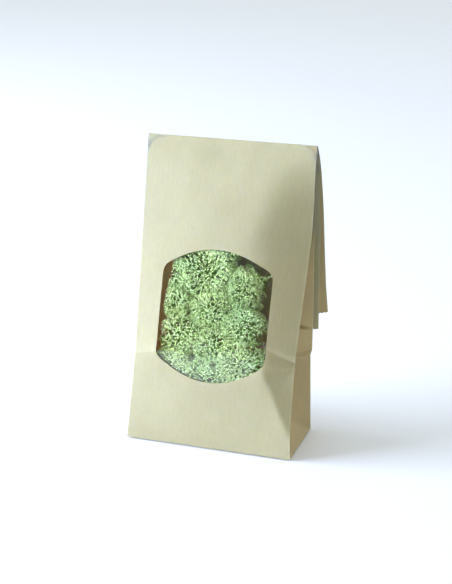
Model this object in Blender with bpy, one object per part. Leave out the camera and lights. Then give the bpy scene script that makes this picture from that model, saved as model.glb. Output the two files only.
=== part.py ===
"""Kraft paper window bag filled with cushions of reindeer lichen.

The bag is one sheet of paper: a side-gusset tube with a flat glued base, its empty upper part
folded over the ridge so that it hangs behind the back panel with its mouth open below.
A barrel-shaped window in the front panel is closed from inside by a clear film.
The lichen lies loose inside, as separate cushions that press on each other and on the film.

Units are metres, +Z is up, the front faces -Y, and the origin is the middle of the base.
"""

import math

import bmesh
import bpy
from mathutils import Vector, noise

MM = 0.001

# Bag
BASE_WIDTH = 100.0 * MM
BASE_DEPTH = 45.3 * MM
PAPER = 0.3 * MM
CREASE_HEIGHT = 52.3 * MM
CREASE_FRONT = -12.6 * MM
CREASE_HALF_WIDTH = 47.6 * MM
RIDGE = (22.9 * MM, 173.2 * MM)
RIDGE_HALF_WIDTH = 50.6 * MM
RIDGE_PACK = 2.4 * MM
TUCK_SHARE = 0.85

# Window and its film
WINDOW_CENTRE_X = -1.2 * MM
WINDOW_HALF_WIDTH = 32.7 * MM
WINDOW_SIDE = (52.0 * MM, 101.5 * MM)
WINDOW_TOP_RISE = 11.8 * MM
WINDOW_BOTTOM_RISE = 12.7 * MM
WINDOW_CORNER = 4.0 * MM
CUTTER_REACH = 4.0 * MM
FILM = 0.2 * MM
FILM_LAP = 6.0 * MM

# Lichen
GAP = 0.3 * MM
WALL_CLEARANCE = 1.0 * MM
GUSSET_CLEARANCE = 1.9 * MM
FILL_TOP = 124.0 * MM
LUMPINESS = 0.10
LUMP_SIZE = 9.0 * MM
# How closely a cushion follows the limits set by its own size, its neighbours and the walls.
# A high power fills the corners between two limits, and a low one rounds them off.
ROUNDING = 7

HALF_WIDTH = BASE_WIDTH / 2
HALF_DEPTH = BASE_DEPTH / 2

# Where the front and back panels run, as (y, z) points from the base over the ridge to the mouth.
FRONT_LINE = [
    (-HALF_DEPTH, 0.0),
    (CREASE_FRONT, CREASE_HEIGHT),
    RIDGE,
    (31.6 * MM, 160.3 * MM),
    (39.6 * MM, 134.6 * MM),
    (44.8 * MM, 107.0 * MM),
    (50.0 * MM, 82.0 * MM),
    (56.4 * MM, 63.2 * MM),
]
BACK_LINE = [
    (HALF_DEPTH, 0.0),
    (20.6 * MM, CREASE_HEIGHT - 2.0 * MM),
    (RIDGE[0] - 0.2 * MM, RIDGE[1] - RIDGE_PACK),
    (28.0 * MM, 159.0 * MM),
    (32.4 * MM, 135.0 * MM),
    (33.0 * MM, 107.0 * MM),
    (33.4 * MM, 82.0 * MM),
    (34.2 * MM, 60.0 * MM),
]
# Half widths at the same places. The filled front draws in at the crease.
FRONT_HALF_WIDTHS = [HALF_WIDTH, CREASE_HALF_WIDTH] + [RIDGE_HALF_WIDTH] * 6
BACK_HALF_WIDTHS = [HALF_WIDTH, HALF_WIDTH] + [RIDGE_HALF_WIDTH] * 6
# How many equal steps each stretch of the lines is divided into.
STRETCH_STEPS = [4, 6, 2, 2, 2, 2, 2]

# The lichen cushions: (x, distance behind the front panel, z, radius) in millimetres.
FRONT_CUSHIONS = [
    (-7.7, 9.5, 98.0, 17.2),
    (15.0, 9.5, 89.5, 12.0),
    (-25.0, 9.5, 95.5, 11.5),
    (-25.5, 9.5, 80.5, 10.5),
    (-3.8, 9.5, 78.5, 13.5),
    (-21.5, 9.5, 62.0, 13.5),
    (15.8, 9.5, 70.0, 12.5),
    (-1.5, 9.5, 57.5, 11.5),
    (-24.0, 9.5, 45.5, 12.5),
    (15.5, 9.5, 49.5, 15.0),
    (-6.0, 9.5, 40.5, 11.5),
]
REAR_CUSHIONS = [
    (-15.0, 7.5, 116.5, 11.0),
    (2.0, 8.5, 115.0, 10.5),
    (23.0, 12.0, 95.5, 10.0),
    (-12.0, 24.5, 68.0, 12.5),
    (13.5, 24.5, 64.0, 12.5),
    (-29.0, 27.0, 40.0, 14.5),
    (1.0, 27.0, 38.0, 16.0),
    (29.0, 27.0, 37.0, 14.5),
]
BOTTOM_CUSHIONS = [
    (-30.5, 15.5, 17.5, 17.0),
    (-1.0, 15.0, 15.5, 18.0),
    (30.0, 15.5, 18.0, 17.0),
]


def clear_scene():
    for found in list(bpy.data.objects):
        bpy.data.objects.remove(found)


def material(name, colour, roughness, alpha=1.0):
    made = bpy.data.materials.new(name)
    made.use_nodes = True
    shader = made.node_tree.nodes["Principled BSDF"]
    shader.inputs["Base Color"].default_value = (*colour, 1.0)
    shader.inputs["Roughness"].default_value = roughness
    shader.inputs["Alpha"].default_value = alpha
    return made


def add_object(name, bm, finish):
    mesh = bpy.data.meshes.new(name)
    bm.to_mesh(mesh)
    bm.free()
    made = bpy.data.objects.new(name, mesh)
    bpy.context.scene.collection.objects.link(made)
    made.data.materials.append(finish)
    return made


def along(line, height):
    """The y of a panel at a height, on its stretch between the base and the ridge."""
    for (y0, z0), (y1, z1) in zip(line[:2], line[1:3]):
        if height <= z1:
            break
    return y0 + (y1 - y0) * (height - z0) / (z1 - z0)


def tuck(gap):
    """How far a gusset's middle fold stands in when the panels are this far apart.

    A sharp fold would stand in by the full share. The filled sides bow, which takes up the rest.
    """
    return TUCK_SHARE * math.sqrt(max(HALF_DEPTH**2 - (gap / 2) ** 2, 0.0))


def gusset_middle(height):
    """How far from the bag's middle a gusset's folded-in edge stands at a height below the ridge."""
    heights = [z for _, z in FRONT_LINE]
    halves = [along(list(zip(widths, heights)), height) for widths in (FRONT_HALF_WIDTHS, BACK_HALF_WIDTHS)]
    depth = along(BACK_LINE, height) - along(FRONT_LINE, height)
    return sum(halves) / 2 - tuck(depth)


# The paper bag


def stations():
    """Every section of the tube: front point, back point, front half width, back half width."""
    rows = []
    columns = list(zip(FRONT_LINE, BACK_LINE, FRONT_HALF_WIDTHS, BACK_HALF_WIDTHS))
    for start, end, steps in zip(columns, columns[1:], STRETCH_STEPS):
        for step in range(steps):
            t = step / steps
            front = Vector(start[0]).lerp(Vector(end[0]), t)
            back = Vector(start[1]).lerp(Vector(end[1]), t)
            widths = [start[i] + (end[i] - start[i]) * t for i in (2, 3)]
            rows.append((front, back, *widths))
    front, back, *widths = columns[-1]
    rows.append((Vector(front), Vector(back), *widths))
    return rows


def section_outline(depth, front_half, back_half):
    """The tube's outline in its own plane: x across, n from the front panel to the back one."""
    fold = tuck(depth)
    middle = (front_half + back_half) / 2 - fold
    return [
        Vector((-front_half, 0.0)),
        Vector((front_half, 0.0)),
        Vector((middle, depth / 2)),
        Vector((back_half, depth)),
        Vector((-back_half, depth)),
        Vector((-middle, depth / 2)),
    ]


def offset_inwards(outline, distance):
    """The same outline moved in by a distance, each corner on the mitre of its two sides."""
    moved = []
    count = len(outline)
    for i, corner in enumerate(outline):
        before = (corner - outline[i - 1]).normalized()
        after = (outline[(i + 1) % count] - corner).normalized()
        inward_before = Vector((-before.y, before.x))
        inward_after = Vector((-after.y, after.x))
        mitre = inward_before + inward_after
        moved.append(corner + mitre * (2 * distance / mitre.length_squared))
    return moved


def ring(bm, front, back, outline, lift=0.0):
    """Vertices of one section's outline, set on the line from its front point to its back point."""
    across = (back - front).normalized()
    verts = []
    for point in outline:
        place = front + across * point.y
        verts.append(bm.verts.new((point.x, place.x, place.y + lift)))
    return verts


def skin(bm, rings, outwards):
    """Triangles between rings that follow each other.

    A twisted stretch is cut along the same diagonal on both sides of the sheet, so the two sides can't cross.
    """
    for low, high in zip(rings, rings[1:]):
        for i in range(len(low)):
            j = (i + 1) % len(low)
            for face in ((low[i], low[j], high[j]), (low[i], high[j], high[i])):
                bm.faces.new(face if outwards else face[::-1])


def window_outline():
    """The window's edge as (x, z) points: two upright sides, an arched top and an arched bottom."""
    half, side_low, side_high = WINDOW_HALF_WIDTH, *WINDOW_SIDE
    sag = 14
    bottom = []
    top = []
    for step in range(sag + 1):
        x = -half + 2 * half * step / sag
        bulge = 1 - (x / half) ** 2
        bottom.append(Vector((x, side_low - WINDOW_BOTTOM_RISE * bulge)))
        top.append(Vector((-x, side_high + WINDOW_TOP_RISE * bulge)))
    corners = bottom + top
    sharp = {0, sag, sag + 1, 2 * sag + 1}
    rounded = []
    for i, corner in enumerate(corners):
        if i not in sharp:
            rounded.append(corner)
            continue
        before = (corners[i - 1] - corner).normalized()
        after = (corners[(i + 1) % len(corners)] - corner).normalized()
        start = corner + before * WINDOW_CORNER
        end = corner + after * WINDOW_CORNER
        for t in (0.0, 0.25, 0.5, 0.75, 1.0):
            rounded.append(start.lerp(corner, t).lerp(corner.lerp(end, t), t))
    return [Vector((p.x + WINDOW_CENTRE_X, p.y)) for p in rounded]


def window_cutter():
    """A prism through the front panel only."""
    bm = bmesh.new()
    outline = window_outline()
    front = [bm.verts.new((p.x, along(FRONT_LINE, p.y) - CUTTER_REACH, p.y)) for p in outline]
    back = [bm.verts.new((p.x, along(FRONT_LINE, p.y) + CUTTER_REACH, p.y)) for p in outline]
    bm.faces.new(front)
    bm.faces.new(back[::-1])
    for i in range(len(outline)):
        j = (i + 1) % len(outline)
        bm.faces.new((front[j], front[i], back[i], back[j]))
    bmesh.ops.recalc_face_normals(bm, faces=bm.faces)
    cutter = add_object("window_cutter", bm, material("cutter", (1.0, 0.2, 0.2), 0.5))
    cutter.hide_render = True
    cutter.display_type = "WIRE"
    return cutter


def paper_bag():
    bm = bmesh.new()
    outer = []
    inner = []
    for number, (front, back, front_half, back_half) in enumerate(stations()):
        outline = section_outline((back - front).length, front_half, back_half)
        outer.append(ring(bm, front, back, outline))
        lift = PAPER if number == 0 else 0.0
        inner.append(ring(bm, front, back, offset_inwards(outline, PAPER), lift))
    skin(bm, outer, True)
    skin(bm, inner, False)
    bm.faces.new(outer[0][::-1])
    bm.faces.new(inner[0])
    for i in range(6):
        j = (i + 1) % 6
        bm.faces.new((outer[-1][i], outer[-1][j], inner[-1][j], inner[-1][i]))
    bag = add_object("paper_bag", bm, material("kraft_paper", (0.52, 0.45, 0.29), 0.8))
    cut = bag.modifiers.new("window", "BOOLEAN")
    cut.operation = "DIFFERENCE"
    cut.object = window_cutter()
    return bag


# The film


def window_film():
    """A rectangular sheet behind the window, bent once with the front panel at the crease."""
    left = WINDOW_CENTRE_X - WINDOW_HALF_WIDTH - FILM_LAP
    right = WINDOW_CENTRE_X + WINDOW_HALF_WIDTH + FILM_LAP
    low = WINDOW_SIDE[0] - WINDOW_BOTTOM_RISE - FILM_LAP
    high = WINDOW_SIDE[1] + WINDOW_TOP_RISE + FILM_LAP
    near = PAPER + GAP
    bm = bmesh.new()
    rows = []
    for height in (low, CREASE_HEIGHT, high):
        y = along(FRONT_LINE, height)
        loop = ((left, near), (right, near), (right, near + FILM), (left, near + FILM))
        rows.append([bm.verts.new((x, y + back, height)) for x, back in loop])
    skin(bm, rows, True)
    bm.faces.new(rows[0][::-1])
    bm.faces.new(rows[-1])
    return add_object("window_film", bm, material("clear_film", (0.9, 0.92, 0.93), 0.1, 0.3))


# The lichen


def cushion_places():
    """Centre and radius of every cushion, top row first."""
    places = []
    for x, behind, z, radius in FRONT_CUSHIONS + REAR_CUSHIONS + BOTTOM_CUSHIONS:
        y = along(FRONT_LINE, z * MM) + behind * MM
        places.append((Vector((x * MM, y, z * MM)), radius * MM))
    return places


def inside_bag(point):
    """Whether lichen may be here: clear of the panels, the film, the gussets, the base and the empty top."""
    if not WALL_CLEARANCE < point.z < FILL_TOP:
        return False
    front = along(FRONT_LINE, point.z)
    back = along(BACK_LINE, point.z)
    if abs(point.x) > gusset_middle(point.z) - GUSSET_CLEARANCE:
        return False
    return front + WALL_CLEARANCE < point.y < back - WALL_CLEARANCE


def wall_reach(centre, direction):
    """How far one can go from a centre before leaving the bag's inside, by halving."""
    low, high = 0.0, BASE_WIDTH
    for _ in range(20):
        middle = (low + high) / 2
        if inside_bag(centre + direction * middle):
            low = middle
        else:
            high = middle
    return low


def neighbour_reaches(number, places, direction):
    """The distances to the planes where this cushion meets the others, along one direction."""
    centre, radius = places[number]
    for other, (place, other_radius) in enumerate(places):
        apart = place - centre
        if other == number or direction.dot(apart) <= 0:
            continue
        share = apart.length / 2 + (radius**2 - other_radius**2) / (2 * apart.length)
        yield (share - GAP) * apart.length / direction.dot(apart)


def cushion(number, places, finish):
    """A rounded lump, flattened where it presses on its neighbours, the film and the paper."""
    centre, radius = places[number]
    bm = bmesh.new()
    bmesh.ops.create_icosphere(bm, subdivisions=3, radius=1.0)
    for vert in bm.verts:
        direction = vert.co.normalized()
        lump = noise.noise((centre + direction * radius) / LUMP_SIZE)
        limits = [radius * (1.0 + LUMPINESS * lump), wall_reach(centre, direction)]
        limits.extend(neighbour_reaches(number, places, direction))
        reach = sum(limit**-ROUNDING for limit in limits) ** (-1 / ROUNDING)
        vert.co = centre + direction * reach
    made = add_object(f"lichen_cushion_{number + 1:02d}", bm, finish)
    made.data.shade_smooth()
    return made


def main():
    clear_scene()
    paper_bag()
    window_film()
    lichen = material("reindeer_lichen", (0.42, 0.55, 0.26), 0.9)
    places = cushion_places()
    for number in range(len(places)):
        cushion(number, places, lichen)


main()
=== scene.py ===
"""Looks of a kraft paper window bag of reindeer lichen: folded paper, clear film and grown cushions.

It is laid out as an add-on: settings, one operator for each group of pieces, a panel and a main function.
Lengths in the tables are millimetres, as on a paper maker's drawing. Meshes are in metres, +Z up,
front to -Y.
"""

import math

import bpy
import numpy as np
from bpy.props import FloatProperty, FloatVectorProperty, IntProperty, PointerProperty
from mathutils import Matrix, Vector, kdtree, noise


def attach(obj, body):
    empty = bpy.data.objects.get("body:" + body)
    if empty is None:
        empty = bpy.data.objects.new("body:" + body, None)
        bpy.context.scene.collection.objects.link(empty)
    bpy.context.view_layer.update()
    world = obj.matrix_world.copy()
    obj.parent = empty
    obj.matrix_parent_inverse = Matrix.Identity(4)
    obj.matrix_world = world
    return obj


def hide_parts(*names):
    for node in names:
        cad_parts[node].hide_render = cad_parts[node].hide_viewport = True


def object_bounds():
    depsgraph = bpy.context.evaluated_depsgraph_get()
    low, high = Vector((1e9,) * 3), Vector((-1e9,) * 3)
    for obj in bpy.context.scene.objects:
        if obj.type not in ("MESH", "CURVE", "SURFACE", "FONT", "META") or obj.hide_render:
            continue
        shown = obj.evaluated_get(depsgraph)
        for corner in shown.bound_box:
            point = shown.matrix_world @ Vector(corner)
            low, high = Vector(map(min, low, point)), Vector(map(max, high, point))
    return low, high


bl_info = {
    "name": "Window bag of reindeer lichen",
    "version": (1, 0, 0),
    "blender": (4, 5, 0),
    "location": "View3D > Sidebar > Window bag",
    "description": "Folds a kraft paper window bag, fits its film and fills it with reindeer lichen",
    "category": "Object",
}

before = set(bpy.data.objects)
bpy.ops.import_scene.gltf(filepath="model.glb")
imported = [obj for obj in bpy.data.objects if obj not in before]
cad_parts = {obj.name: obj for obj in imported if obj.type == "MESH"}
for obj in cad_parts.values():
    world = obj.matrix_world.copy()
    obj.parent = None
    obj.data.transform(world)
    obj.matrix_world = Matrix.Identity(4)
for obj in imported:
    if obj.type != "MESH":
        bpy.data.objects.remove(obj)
CAD_LOW, CAD_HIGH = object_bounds()
MM = 0.001

BASE_HALF_WIDTH = 50.0
BASE_HALF_DEPTH = -CAD_LOW.y / MM
RIDGE_HALF_WIDTH = CAD_HIGH.x / MM
RIDGE_HEIGHT = CAD_HIGH.z / MM
CREASE_HEIGHT = 52.3
# The unfolded sheet's panels across: front, right gusset, back, left gusset.
PANEL_WIDTHS = np.array([2 * BASE_HALF_WIDTH, 2 * BASE_HALF_DEPTH] * 2)
PANEL_STARTS = np.concatenate([[0], np.cumsum(PANEL_WIDTHS)])
# A unit of the sheet's map, and where the glued seam runs across the sheet.
SHEET_UNIT = 100.0
SEAM_AT = 199.0
# The bag's folds, one row for each station of the tube, from the base over the ridge to the mouth:
# front panel's y and z, back panel's y and z, front half width, back half width.
STATIONS = np.array(
    [
        (-BASE_HALF_DEPTH, 0.0, BASE_HALF_DEPTH, 0.0, BASE_HALF_WIDTH, BASE_HALF_WIDTH),
        (-12.6, CREASE_HEIGHT, 20.6, CREASE_HEIGHT - 2.0, 47.4, 49.6),
        (22.9, RIDGE_HEIGHT + 0.8, 22.7, RIDGE_HEIGHT - 1.6, RIDGE_HALF_WIDTH, RIDGE_HALF_WIDTH),
        (31.6, 160.3, 28.0, 159.0, RIDGE_HALF_WIDTH, RIDGE_HALF_WIDTH),
        (39.6, 134.6, 32.4, 135.0, RIDGE_HALF_WIDTH, RIDGE_HALF_WIDTH),
        (44.8, 107.0, 33.0, 107.0, RIDGE_HALF_WIDTH, RIDGE_HALF_WIDTH),
        (50.0, 82.0, 33.4, 82.0, RIDGE_HALF_WIDTH, RIDGE_HALF_WIDTH),
        (CAD_HIGH.y / MM, 63.2, 34.2, 60.0, RIDGE_HALF_WIDTH, RIDGE_HALF_WIDTH),
    ]
)
# How much of the stretch before and after a station its corner is eased over.
EASE = {1: (0.03, 0.015), 2: (0.012, 0.10), 3: (0.4, 0.4), 4: (0.4, 0.4), 5: (0.4, 0.4), 6: (0.4, 0.4)}
# Rows of the sheet: first station, last station, number of rows.
ROWS = (
    (0.0, 0.9, 40),
    (0.9, 1.06, 22),
    (1.06, 1.22, 36),
    (1.22, 1.96, 56),
    (1.96, 2.0, 8),
    (2.0, 2.12, 8),
    (2.12, 3.0, 8),
    (3.0, 7.0, 40),
)
# Columns of the sheet in each panel.
COLUMNS = (70, 36, 40, 30)

# How far the left gusset stands in, as (height, depth).
TUCK_LEFT = ((16.0, 8.5), (50.0, 12.5), (60.0, 14.0), (100.0, 17.0), (125.0, 19.0), (173.0, 22.3))
TUCK_START = 16.0
# The right gusset is crumpled: its lower part is read along lines that fall towards the back,
# its upper part along level lines, and between them it leans out up to a line that rises to the back.
TUCK_RIGHT_LOW = (
    (16.0, 8.6),
    (25.0, 8.8),
    (32.0, 12.0),
    (50.5, 11.2),
    (51.8, 10.8),
    (52.8, 8.4),
    (69.0, 7.2),
    (69.8, 15.5),
    (70.7, 16.0),
    (71.2, 7.6),
)
TUCK_RIGHT_HIGH = ((80.0, 12.5), (104.0, 11.4), (121.0, 11.2), (123.0, 19.0), (140.0, 20.8), (173.0, 22.3))
LOW_FALL = 9.0
HIGH_START = (82.0, 10.0)
FLAP_TUCK_SHARE = 0.94
# The base's rim stands this high, on two glued flaps: front and back y, low and high z.
BASE_LIFT = 0.55
BASE_FLAPS = ((-20.4, 4.0, 0.0, 0.28), (-4.0, 20.4, 0.29, 0.56))

# How the panels swell: the front's arch over its width, the filling's push, the back and the folded top.
ARCH = 1.9
FILLED = (76.0, 34.0)
FILLED_WIDTH = 104.0
RIDGE_FADE = 30.0
FOOT_FADE = 12.0
BACK_SWELL = 1.8
BACK_FILLED = (60.0, 45.0)
FLAP_SWELL = 1.6
# The folded top starts to swell at this station, and does so over this many.
HANG = (2.3, 3.0)
# The mouth's cut edge is toothed.
MOUTH_TEETH = 0.6
# Handling dents: size and share of two kinds, and how far apart they lie along the sheet.
DENT_SIZES = ((19.0, 1.0), (7.0, 0.35))
DENT_STRETCH = 60.0
SHARPEST_SMOOTH_FOLD = math.radians(32)

# The front panel's soft bend on its right, as (height, distance from the middle).
BEND_LINE = (
    (0.0, 60.0),
    (8.6, 53.0),
    (19.0, 48.0),
    (33.6, 39.5),
    (47.0, 32.5),
    (60.0, 28.0),
    (105.0, 24.0),
    (123.0, 23.0),
    (154.0, 34.0),
    (172.0, 45.0),
)
# How steeply the panel falls away past the bend, as (height, slope).
BEND_SLOPE = ((0.0, 0.34), (55.0, 0.36), (95.0, 0.42), (130.0, 0.43), (155.0, 0.36), (173.0, 0.30))
BEND_SOFTNESS = ((0.0, 1.2), (45.0, 1.6), (62.0, 2.8), (110.0, 4.0), (173.0, 4.0))

# Pinched valleys of the front panel: start x and z, end x and z, depth at each end, reach above and below.
PINCHES = (
    (30.0, 61.5, 48.0, 52.2, 0.4, 3.2, 1.4, 5.0),
    (-49.0, 57.0, -33.0, 57.5, 0.5, 0.1, 3.0, 3.0),
    (-49.0, 30.0, -20.0, 25.0, 0.25, 0.0, 6.0, 3.0),
    (-20.0, 139.0, 15.0, 131.0, 0.15, 0.15, 8.0, 8.0),
)
# Raised folds: start x and z, end x and z, height at each end, reach above and below.
FOLDS = (
    (31.0, 51.3, 48.0, 51.0, 0.5, 1.5, 1.3, 1.3),
    (-48.0, 50.5, -33.0, 54.0, 0.0, 1.5, 3.0, 3.0),
    (-33.0, 36.0, 31.0, 36.0, 0.3, 0.3, 4.0, 4.0),
    (-50.0, 6.5, 50.0, 6.0, 0.35, 0.35, 2.2, 2.2),
    (52.5, 7.0, 32.0, 47.5, 0.9, 1.2, 12.0, 3.0),
)
# The back panel steps out above the base part.
BACK_STEP = ((48.6, 0.0), (50.6, 3.7), (75.0, 3.2), (115.0, 0.0))

# Window, film and lichen.
WINDOW_X = -1.2
WINDOW_HALF = 32.7
WINDOW_SIDE = (52.0, 101.5)
WINDOW_RISE = (12.7, 11.8)
WINDOW_CORNER = 4.0
FILM_LAP = 6.0
FILM_STANDOFF = 0.45
# The window's cutter starts this far before the front panel and is this long.
CUTTER = (7.0, 10.0)
# Cushions with lower numbers show in the window, in this half width and between these heights.
SEEN_CUSHIONS = 14
VIEW_HALF_WIDTH = 37.0
VIEW_HEIGHTS = (34.0, 117.0)
# Levels of branches from the tips inwards: how far apart branches join, step inwards, most that join.
BRANCH_LEVELS = ((1.9, 1.5, 4), (3.4, 2.5, 4), (6.5, 4.0, 5), (12.0, 5.0, 6))
# A parent branch is this much of its children's joined width, up to the widest. Strands fade from the pale
# young tips to painted shade deeper inside, over the reach given last.
JOINED_WIDTH = 0.86
WIDEST_BRANCH = 0.7
AGE_AND_SHADE_REACH = 3.2
PRONGS = 3
# Lichen keeps this far off the film, the gussets and the base.
FILM_CLEARANCE = 0.3
GUSSET_CLEARANCE = 0.6
BASE_CLEARANCE = 0.8
# Places where the window shows no lichen near the film: middle x and z, half width and half height.
GAPS = (
    (19.0, 109.0, 9.0, 4.5),
    (27.0, 106.0, 7.0, 6.0),
    (29.5, 90.0, 4.2, 9.0),
    (29.5, 65.5, 5.0, 3.4),
    (-33.5, 101.0, 5.0, 12.0),
    (-34.0, 86.0, 3.0, 8.0),
    (-34.6, 69.0, 2.4, 9.0),
)
GAP_DEPTH = 15.0
# How the filling presses forward: full push at the film, and the depth over which it eases off.
PRESS = (1.3, 6.5)
PRESS_REACH = 16.0
# Cushions that grew more openly than the others, by number.
OPEN_CUSHIONS = {6: 1.35, 8: 1.15}
STALK_CUSHION = 6
STALK = ((-31.0, -7.6, 61.5), (-22.5, -8.6, 62.8), (-15.0, -8.8, 60.6), (-8.0, -8.6, 56.0))


def length_setting(name, description, millimetres):
    return FloatProperty(name=name, description=description, default=millimetres * MM, unit="LENGTH")


def colour_setting(name, description, default):
    return FloatVectorProperty(
        name=name, description=description, default=default, subtype="COLOR", min=0.0, max=1.0
    )


class PaperSettings(bpy.types.PropertyGroup):
    """Sizes and colours of the kraft paper"""

    thickness: length_setting("Thickness", "Thickness of the sheet", 0.1)
    crumple: length_setting("Crumple", "Height of the handling dents", 0.35)
    bulge: length_setting("Bulge", "How far the filling pushes the front out", 1.5)
    colour: colour_setting("Colour", "Unbleached paper colour", (0.435, 0.405, 0.235))
    fibre_colour: colour_setting("Fibre colour", "Colour of the darker fibres", (0.36, 0.32, 0.16))
    # Paler fold lines: rubbed wear, and a painted highlight along the fold edges.
    fold_wear_and_highlight_colour: colour_setting("Worn colour", "Colour where the folds are rubbed", (0.58, 0.55, 0.37))
    # Painted shade of the right gusset, darker and warmer than the rest of the paper.
    gusset_painted_shade: colour_setting("Gusset tint", "Tint of the right folded side", (0.97, 0.86, 0.75))


class FilmSettings(bpy.types.PropertyGroup):
    """Sizes of the clear film"""

    thickness: length_setting("Thickness", "Thickness of the film", 0.05)
    waviness: length_setting("Waviness", "Height of the film's slow waves", 0.10)


class LichenSettings(bpy.types.PropertyGroup):
    """Sizes and colours of the lichen"""

    tip_spacing: length_setting("Tip spacing", "Distance between branch tips", 0.72)
    hidden_spacing: length_setting("Hidden spacing", "Distance between hidden branch tips", 3.0)
    hole_spacing: length_setting("Hole spacing", "Distance between the open cells", 2.1)
    hole_size: length_setting("Hole size", "Radius of the open cells", 0.62)
    swell: FloatProperty(
        name="Swell", description="How far a cushion grows into its neighbours", default=0.2, subtype="FACTOR"
    )
    puff: length_setting("Puff size", "Size of the puffs on a cushion", 6.0)
    drift: length_setting("Drift", "How far a cushion's outline wanders", 2.4)
    strand: length_setting("Strand radius", "Radius of an outer branch", 0.15)
    prong: length_setting("Prong length", "Length of the last forked tips", 0.72)
    seed: IntProperty(name="Seed", description="Arrangement of the branches", default=11)
    # The stems' darker colour is painted shade deeper in the cushion, with paler young tips.
    tip_colour: colour_setting("Tip colour", "Colour of the growing tips", (0.68, 0.83, 0.36))
    stem_colour: colour_setting("Stem colour", "Colour of the shaded inner stems", (0.19, 0.32, 0.07))


class StageSettings(bpy.types.PropertyGroup):
    """The table, the lights and the camera"""

    azimuth: FloatProperty(
        name="Azimuth",
        description="Camera's turn round the bag, from its front towards its right",
        default=math.radians(18.38),
        subtype="ANGLE",
    )
    elevation: FloatProperty(
        name="Elevation",
        description="Camera's height angle",
        default=math.radians(19.34),
        subtype="ANGLE",
    )
    distance: FloatProperty(
        name="Distance", description="Camera to the bag", default=0.8, subtype="DISTANCE", unit="LENGTH"
    )
    lens: FloatProperty(name="Lens", description="Focal length in millimetres", default=86.05)
    key_power: FloatProperty(
        name="Key power", description="Power of the window light", default=60.0, unit="POWER"
    )
    floor_size: FloatProperty(
        name="Floor size", description="Side of the pale table", default=8.0, unit="LENGTH"
    )


# Shared helpers


def scene_settings():
    scene = bpy.context.scene
    return scene.bag_paper, scene.bag_film, scene.bag_lichen, scene.bag_stage


def deselect_all():
    if bpy.context.object and bpy.context.object.mode != "OBJECT":
        bpy.ops.object.mode_set(mode="OBJECT")
    bpy.ops.object.select_all(action="DESELECT")


def make_active(piece):
    deselect_all()
    piece.select_set(True)
    bpy.context.view_layer.objects.active = piece


def name_active(name):
    made = bpy.context.object
    made.name = name
    made.data.name = name
    return made


def apply_modifiers(piece):
    for modifier in list(piece.modifiers):
        bpy.ops.object.modifier_apply(modifier=modifier.name)


def settle(piece, slot, finish, *nodes):
    """Gives a finished piece its material and its place on the body, and hides the solids that it stands for.
    """
    piece.data.materials.clear()
    piece.data.materials.append(finish)
    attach(piece, "root")
    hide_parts(*nodes)


def table_value(rows, at):
    """A value read between the rows of a two-column table."""
    rows = np.array(rows)
    return np.interp(at, rows[:, 0], rows[:, 1])


def rough(x, z, size, seed):
    """Smooth noise from -1 to 1 at each point of a sheet."""
    pairs = np.stack([np.ravel(x), np.ravel(z)], axis=1) / size
    values = [noise.noise((float(a), float(b), seed)) for a, b in pairs]
    return np.array(values).reshape(np.shape(x))


# The paper's shape


def stations_at(t):
    """The six station values at each station number, corners eased into curves."""
    t = np.asarray(t, float)
    low = np.clip(np.floor(t).astype(int), 0, len(STATIONS) - 2)
    placed = STATIONS[low] + (STATIONS[low + 1] - STATIONS[low]) * (t - low)[:, None]
    for corner, (before, after) in EASE.items():
        near = (t > corner - before) & (t < corner + after)
        w = ((t[near] - corner + before) / (before + after))[:, None]
        start = STATIONS[corner] + (STATIONS[corner - 1] - STATIONS[corner]) * before
        end = STATIONS[corner] + (STATIONS[corner + 1] - STATIONS[corner]) * after
        placed[near] = (1 - w) ** 2 * start + 2 * w * (1 - w) * STATIONS[corner] + w**2 * end
    return placed


def front_line(z):
    """The plain front panel's y at a height of the body."""
    rows = STATIONS[:3]
    return np.interp(z, rows[:, 1], rows[:, 0])


def along_line(x, z, x0, z0, x1, z1):
    """Share along a line, signed distance above it, and a fade that ends with it."""
    length = math.hypot(x1 - x0, z1 - z0)
    along = ((x - x0) * (x1 - x0) + (z - z0) * (z1 - z0)) / length
    above = ((z - z0) * (x1 - x0) - (x - x0) * (z1 - z0)) / length
    fade = np.clip(1 + np.minimum(along, length - along) / 5.0, 0, 1)
    return np.clip(along / length, 0, 1), above, fade


def crease_relief(x, z):
    """What the sharp creases add to the front panel, outwards."""
    total = np.zeros(np.shape(x))
    for way, rows in ((-1, PINCHES), (1, FOLDS)):
        for *line, first, last, over, under in rows:
            share, above, fade = along_line(x, z, *line)
            reach = np.where(above > 0, over, under)
            total += way * (first + (last - first) * share) * np.exp(-np.abs(above) / reach) * fade
    return total


def front_relief(x, z):
    """How far the front panel stands out of its plain plane, in millimetres."""
    paper = scene_settings()[0]
    arch = ARCH - ARCH * (x / BASE_HALF_WIDTH) ** 2
    centre, reach = FILLED
    filled = paper.bulge / MM * np.exp(-(((z - centre) / reach) ** 2)) * np.cos(math.pi * x / FILLED_WIDTH)
    bend_at = table_value(BEND_LINE, z)
    soft = table_value(BEND_SOFTNESS, z)
    bend = -table_value(BEND_SLOPE, z) * soft * np.logaddexp(0, (x - bend_at) / soft)
    top = np.clip((RIDGE_HEIGHT - z) / RIDGE_FADE, 0, 1)
    foot = np.clip(z / FOOT_FADE, 0, 1)
    return (arch + filled + bend) * top * foot + crease_relief(x, z) * np.clip(z / 5, 0, 1)


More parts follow.
